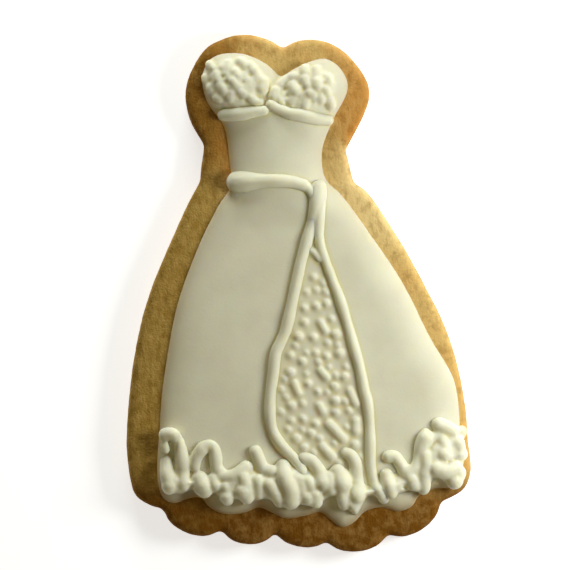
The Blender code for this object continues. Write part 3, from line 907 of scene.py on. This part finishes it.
print(f"the hem's body rises {BODY_HEIGHT / MM:.2f} mm over the flood")

# %% [markdown]
# ## Painted warm shade in the valleys
#
# Light that reaches a valley has been through icing several times, and so it is warmer than on the
# ridges. The renderer's own scattering shows little of that. So a warm shade is painted in: it is
# worked out once where the valleys are, and kept as a value of each point that the material reads.
# Smoothing a mesh lifts its valleys and lowers its ridges, so the way that a point moves tells them
# apart. Beside another piece, where shade falls, the distance to it decides instead.

# %% Mark the valleys for painted shade
# These decide the painted warm shade: valleys by smoothing, and beside or at the foot of a line by
# distance.
VALLEY_ROUNDS = 10
VALLEY_DEPTH = 0.09 * MM
FOOT_HEIGHT = 0.8 * MM
LINE_HALF_WIDTH = 5.2 * GRID
LINE_SHADE = 4.5 * GRID
LINE_SPOTS = [smooth_path([place(point) for point in line], GRID) for line in PIPED_LINES]
LINE_TREE = edge_tree([spot for spots in LINE_SPOTS for spot in spots])


def beside_a_line(point):
    """1 right beside a piped line and 0 farther off."""
    distance = LINE_TREE.find((point.x, point.y, 0.0))[2]
    return soft_step(1 - (distance - LINE_HALF_WIDTH) / LINE_SHADE)


def at_the_foot(point):
    """1 at the foot of a piped line and 0 higher up."""
    return soft_step(1 - (point.z - flood_top(point)) / FOOT_HEIGHT)


def paint_valley_shade(shape, contact):
    """Keeps on each point how deep in a valley it lies, or how near another piece, from 0 to 1, as
    the share of painted warm shade.
    """
    layer = shape.verts.layers.float.new("valley")
    shape.normal_update()
    before = [(vert.co.copy(), vert.normal.copy()) for vert in shape.verts]
    smooth_out(shape, VALLEY_ROUNDS)
    warm = 0
    for vert, (point, normal) in zip(shape.verts, before):
        lifted = soft_step((vert.co - point).dot(normal) / VALLEY_DEPTH)
        vert.co = point
        vert[layer] = max(lifted, contact(point))
        warm += vert[layer] > 0.5
    print(f"{warm / len(shape.verts):.0%} of the points are in a valley")


print(sum(len(spots) for spots in LINE_SPOTS), "spots along the piped lines")

# %% [markdown]
# ## The gown
#
# The flood starts as a flat plate of its outline, which is remeshed so that it has points
# everywhere. Then every point over the foot is moved to the height that the functions above give. A
# displaced grid would do the same, but its edge would be a staircase. Squiggles and lace belong to
# the flood and are fused to it.

# %% Flood the gown
FLOOD_SEED = 7
SUNK_DEPTH = 0.6 * MM
ROUGH_VOXEL, ROUGH_ROUNDS = 0.4 * MM, 1
FLOOD_VOXEL, FLOOD_ROUNDS = 0.27 * MM, 4
WORM_UNEVENNESS = 0.15
LACE_FULLNESS, LACE_LIFT = 1.15, -0.4
DOT_RADII, DOT_LIFT = (3.9, 5.0), -0.46
LACE_END = 0.5
DOT_END = Vector((0.8, 0.9))


def flood_gown():
    """The flood with everything that is fused to it."""
    rng = random.Random(FLOOD_SEED)
    shape = bmesh.new()
    ring = [point + Vector((0, 0, FLOOD_FOOT - SUNK_DEPTH)) for point in FLOOD_RING[::2]]
    add_plate(shape, ring, CREST - FLOOD_FOOT + SUNK_DEPTH, 0.0)
    shape = one_skin(shape, ROUGH_VOXEL, ROUGH_ROUNDS)
    for vert in shape.verts:
        if vert.co.z > FLOOD_FOOT:
            share = (vert.co.z - FLOOD_FOOT) / (CREST - FLOOD_FOOT)
            vert.co.z = FLOOD_FOOT + share * (bust_top(vert.co) - FLOOD_FOOT)
    for radius, worm in SQUIGGLES:
        add_worm(shape, worm, radius * GRID, flood_top, 0.0, rng, WORM_UNEVENNESS)
    for radius, worm in LACE:
        worm = worm + [(worm[-1][0] + LACE_END, worm[-1][1])]
        add_worm(shape, worm, radius * LACE_FULLNESS * GRID, flood_top, LACE_LIFT, rng)
    dots = small_dots(rng)
    for spot in dots:
        radius = rng.uniform(*DOT_RADII)
        add_worm(shape, [spot, spot + DOT_END], radius * GRID, flood_top, DOT_LIFT, rng)
    print(len(dots), "small dots fill the lace")
    shape = one_skin(shape, FLOOD_VOXEL, FLOOD_ROUNDS)
    paint_valley_shade(shape, beside_a_line)
    cut_flat(shape, FLOOD_FOOT)
    finish_piece("flooded_icing", shape, "flood_icing", ICING)


flood_gown()

# %% [markdown]
# ## Bands, waist and drapes
#
# Each line is one squeeze of the bag that keeps nearly the same width and sinks a little into the
# set icing under it. Where the bag rests, the line is thicker: the waist band starts with a blob,
# and the right drape starts thick at the waist. A line whose width changes on its way is piped in
# several strokes that overlap, and the skin over them makes them one. The join at the waist is a
# stroke that tapers off under the left drape.

# %% Pipe the lines
LINE_VOXEL, LINE_ROUNDS = 0.2 * MM, 8
# Each line is (piece, node, lift in radii, unevenness, strokes), and each stroke is (radius, swell
# of its start, anchors).
LINES = [
    ("left_bust_band", "bust_band_left", 0.0, 0.12, [(7.0, 1.0, BUST_BAND_LEFT)]),
    ("right_bust_band", "bust_band_right", 0.0, 0.12, [
        (6.4, 1.0, BUST_BAND_RIGHT), (7.0, 1.0, BUST_BAND_RIGHT[-2:]),
    ]),
    ("waist_and_left_drape", "sash_left", 0.0, 0.06, [
        (6.8, 1.75, SASH_LEFT[:6]), (6.1, 1.0, SASH_LEFT[4:]),
    ]),
    ("right_drape", "sash_right", -0.1, 0.06, [
        (6.0, 1.45, SASH_RIGHT[:5]), (4.0, 1.0, CROSSING), (5.3, 1.0, SASH_RIGHT[4:8]),
        (6.0, 1.0, SASH_RIGHT[7:]), (6.0, 1.45, WAIST_JOIN),
    ]),
]


def pipe_line(name, node, lift, unevenness, strokes, seed):
    """One piped line, its strokes fused to one."""
    rng = random.Random(seed)
    shape = bmesh.new()
    for radius, swell, anchors in strokes:
        add_worm(shape, anchors, radius * GRID, worm_ground, lift, rng, unevenness, swell)
    shape = one_skin(shape, LINE_VOXEL, LINE_ROUNDS)
    paint_valley_shade(shape, at_the_foot)
    finish_piece(name, shape, node, ICING)


for seed, line in enumerate(LINES, 1):
    pipe_line(*line, seed)

# %% [markdown]
# ## The ruffled hem
#
# The loops follow the ground of the hem's body and are half sunk into it. Their lower ends hang
# over the steep bank like drips, and beyond it the thin edge of the flood lies in their shadow.
# Where a loop ends or turns, the bag rests for a moment and leaves a knob. One zigzag line all
# along the hem would be simpler to write, but it would look as even as a machine's.

# %% Worms and knobs of the hem
RUFFLE_WORMS = [
    (5.4, [(166, 434), (171, 433), (176, 436), (180, 444), (182, 455), (183, 467), (184, 478),
           (184, 485)]), (3.8, [(165, 445), (166, 449)]),
    (6.0, [(167, 462), (167, 472), (169, 482), (170, 487)]),
    (5.8, [(203, 447), (209, 444.5), (214, 448), (216, 457), (217, 467), (222, 474)]),
    (5.0, [(202, 449), (197, 456), (195, 465)]), (7.0, [(200, 478), (203, 485), (205, 489)]),
    (6.8, [(222, 476), (232, 476), (240, 472), (246, 467)]),
    (5.8, [(226, 486), (228, 494), (228, 499)]), (4.6, [(214, 478), (216, 485)]),
    (7.0, [(243, 476), (246, 485), (247, 491), (247, 496)]),
    (5.2, [(255.5, 451), (259, 459), (264, 469), (272, 471)]),
    (4.8, [(258, 479), (259, 487), (259, 494)]), (6.2, [(270, 484), (275, 492), (280, 500)]),
    (6.4, [(283, 465), (284, 474), (286, 482)]), (8.0, [(288, 484), (291, 492), (291, 499)]),
    (6.6, [(304, 458), (311, 460), (317, 467), (322, 476), (324, 483)]),
    (5.4, [(308, 480), (312, 488)]), (6.6, [(315, 494), (316, 501)]),
    (4.8, [(302, 484), (303, 494), (304, 499)]), (6.6, [(337, 471), (341, 476), (342, 483)]),
    (5.8, [(341, 488), (342, 496), (344, 503)]),
    (5.4, [(345, 452), (351, 455), (355, 463), (356, 472), (357, 482)]),
    (5.8, [(330, 478), (331, 488)]), (6.2, [(358, 487), (357, 495)]),
    (6.2, [(388, 456), (394, 456), (400, 463), (405, 471), (411, 478), (415, 484)]),
    (5.0, [(386, 474), (389, 484), (391, 492)]),
    (6.6, [(409, 473), (416, 467), (419, 457), (421, 447), (425, 438)]),
    (5.4, [(425, 433), (428, 437)]),
    (6.2, [(430, 438), (437, 436), (442, 440), (445, 448), (446, 454)]),
    (5.8, [(438, 424), (446, 427), (452, 431)]), (5.6, [(461, 431), (457, 437)]),
    (6.4, [(457, 442), (459, 449), (461, 454)]), (6.2, [(426, 455), (426, 465), (424, 473)]),
    (5.2, [(423, 477), (424, 484), (423, 488)]), (6.4, [(436, 468), (445, 470), (454, 467)]),
    (6.4, [(458, 472), (456, 478), (453, 482)]),
]
RUFFLE_KNOBS = [
    (8.8, (202, 486.5)), (7.8, (227, 496)), (9.4, (243, 490.5)), (7.6, (276, 493.5)),
    (8.2, (308, 497)), (8.0, (337, 477)), (7.6, (413, 483)), (8.4, (443, 453)), (8.0, (459, 454)),
    (9.0, (454, 480)), (8.6, (170, 485)),
]
print(len(RUFFLE_WORMS), "worms and", len(RUFFLE_KNOBS), "knobs make the ruffle")

# %% Pipe the ruffle
HEM_SEED = 21
# The body starts as a block that roots in the flood. What is over its root is shaped.
ROOT_DEPTH = 1.8 * MM
BLOCK_HEIGHT = 2.4 * MM
STILL_HEIGHT = 1.0 * MM
PIT_SHARE = 0.85
HEM_FULLNESS = 1.22
HEM_VOXEL, HEM_ROUNDS = 0.22 * MM, 8


def pipe_ruffle():
    """The body of the hem, its worms and its knobs, fused to one."""
    rng = random.Random(HEM_SEED)
    foot = ICING_TOP - ROOT_DEPTH
    shape = bmesh.new()
    ring = [point + Vector((0, 0, foot)) for point in BODY_RING[::2]]
    add_plate(shape, ring, BLOCK_HEIGHT, 0.0)
    shape = one_skin(shape, ROUGH_VOXEL, ROUGH_ROUNDS)
    for vert in shape.verts:
        if vert.co.z > foot + STILL_HEIGHT:
            ground = flood_top(vert.co)
            filled = 1 - PIT_SHARE * (1 - away_from_pits(vert.co, RUFFLE_PIT_TREE))
            vert.co.z = ground + (ruffle_ground(vert.co) - ground) * filled
    for radius, worm in RUFFLE_WORMS:
        thick = radius * HEM_FULLNESS * GRID
        add_worm(shape, worm, thick, worm_ground, 0.0, rng, WORM_UNEVENNESS)
    for radius, point in RUFFLE_KNOBS:
        knob = place(point)
        knob.z = worm_ground(knob)
        add_drop(shape, knob, radius * GRID)
    shape = one_skin(shape, HEM_VOXEL, HEM_ROUNDS)
    paint_valley_shade(shape, at_the_foot)
    finish_piece("ruffled_hem", shape, "hem_ruffle", ICING)


pipe_ruffle()

# %% [markdown]
# ## Table and light
#
# The cookie lies on a plain pale table between two soft windows. The near one, on its right, makes
# the right half brighter than the left. The far one stands low beyond the bodice, so its light
# grazes the icing and picks out every ridge. Light from above would be simpler, but would flatten
# white on white. The room adds a weak warm fill.

# %% Table
TABLE_SIZE = 1.2
TABLE_GREY = (0.86, 0.86, 0.86, 1.0)
TABLE_GLOW = 0.7


def lay_table():
    """A plain pale surface, which glows a little to stay white in the dim light."""
    shape = bmesh.new()
    bmesh.ops.create_grid(shape, x_segments=1, y_segments=1, size=TABLE_SIZE)
    mesh = bpy.data.meshes.new("table_top")
    shape.to_mesh(mesh)
    shape.free()
    table = bpy.data.objects.new("table_top", mesh)
    bpy.context.scene.collection.objects.link(table)
    material, surface, _, _ = start_material("pale_table")
    surface.inputs["Base Color"].default_value = TABLE_GREY
    surface.inputs["Emission Color"].default_value = (1.0, 1.0, 1.0, 1.0)
    surface.inputs["Emission Strength"].default_value = TABLE_GLOW
    surface.inputs["Roughness"].default_value = 0.9
    mesh.materials.append(material)
    print("laid", table.name)


lay_table()

# %% Light
def add_window(name, bearing, elevation, distance, size, watts, colour):
    """A soft square light that faces the cookie; its bearing counts from +X towards +Y."""
    turn, rise = math.radians(bearing), math.radians(elevation)
    level = math.cos(rise)
    outward = Vector((level * math.cos(turn), level * math.sin(turn), math.sin(rise)))
    data = bpy.data.lights.new(name, "AREA")
    data.size = size
    data.energy = watts
    data.color = colour
    light = bpy.data.objects.new(name, data)
    bpy.context.scene.collection.objects.link(light)
    light.location = Vector((0, 0, BISCUIT_TOP)) + outward * distance
    light.rotation_euler = outward.to_track_quat("Z", "Y").to_euler()
    print(f"{name}: {watts} W, {distance * 100:.0f} cm away")


add_window(
    "near_window", bearing=3, elevation=35, distance=0.18, size=0.08, watts=0.27,
    colour=(0.96, 1.0, 1.0),
)
add_window(
    "far_window", bearing=98, elevation=11, distance=0.34, size=0.145, watts=0.82,
    colour=(0.94, 1.0, 1.0),
)

# %% Room
WARM_ROOM = (1.0, 0.82, 0.42, 1.0)
ROOM_STRENGTH = 0.11
world = bpy.data.worlds.new("room")
bpy.context.scene.world = world
world.use_nodes = True
world.node_tree.nodes["Background"].inputs["Color"].default_value = WARM_ROOM
world.node_tree.nodes["Background"].inputs["Strength"].default_value = ROOM_STRENGTH
# The default view would grey the pale icing.
bpy.context.scene.view_settings.view_transform = "Standard"
print("lit", world.name)

# %% [markdown]
# ## Camera
#
# The camera looks straight down, and one grid step of the cookie fills one step of the picture. A
# parallel view would show that exactly. A long lens from a metre above comes close to it and still
# gives the piping a little depth.

# %% Camera
PICTURE = 570
CAMERA_HEIGHT = 1.0
LOOK_HEIGHT = 4 * MM
SENSOR = 36.0
camera_data = bpy.data.cameras.new("overhead")
camera = bpy.data.objects.new("overhead", camera_data)
bpy.context.scene.collection.objects.link(camera)
bpy.context.scene.camera = camera
middle = place((PICTURE / 2, PICTURE / 2), LOOK_HEIGHT)
camera.location = middle + Vector((0, 0, CAMERA_HEIGHT))
camera_data.sensor_width = SENSOR
camera_data.lens = camera_data.sensor_width * CAMERA_HEIGHT / (PICTURE * GRID)
print(f"lens {camera_data.lens:.0f} mm")

# %% [markdown]
# ## The end

# %% The end
print("the cookie is done")
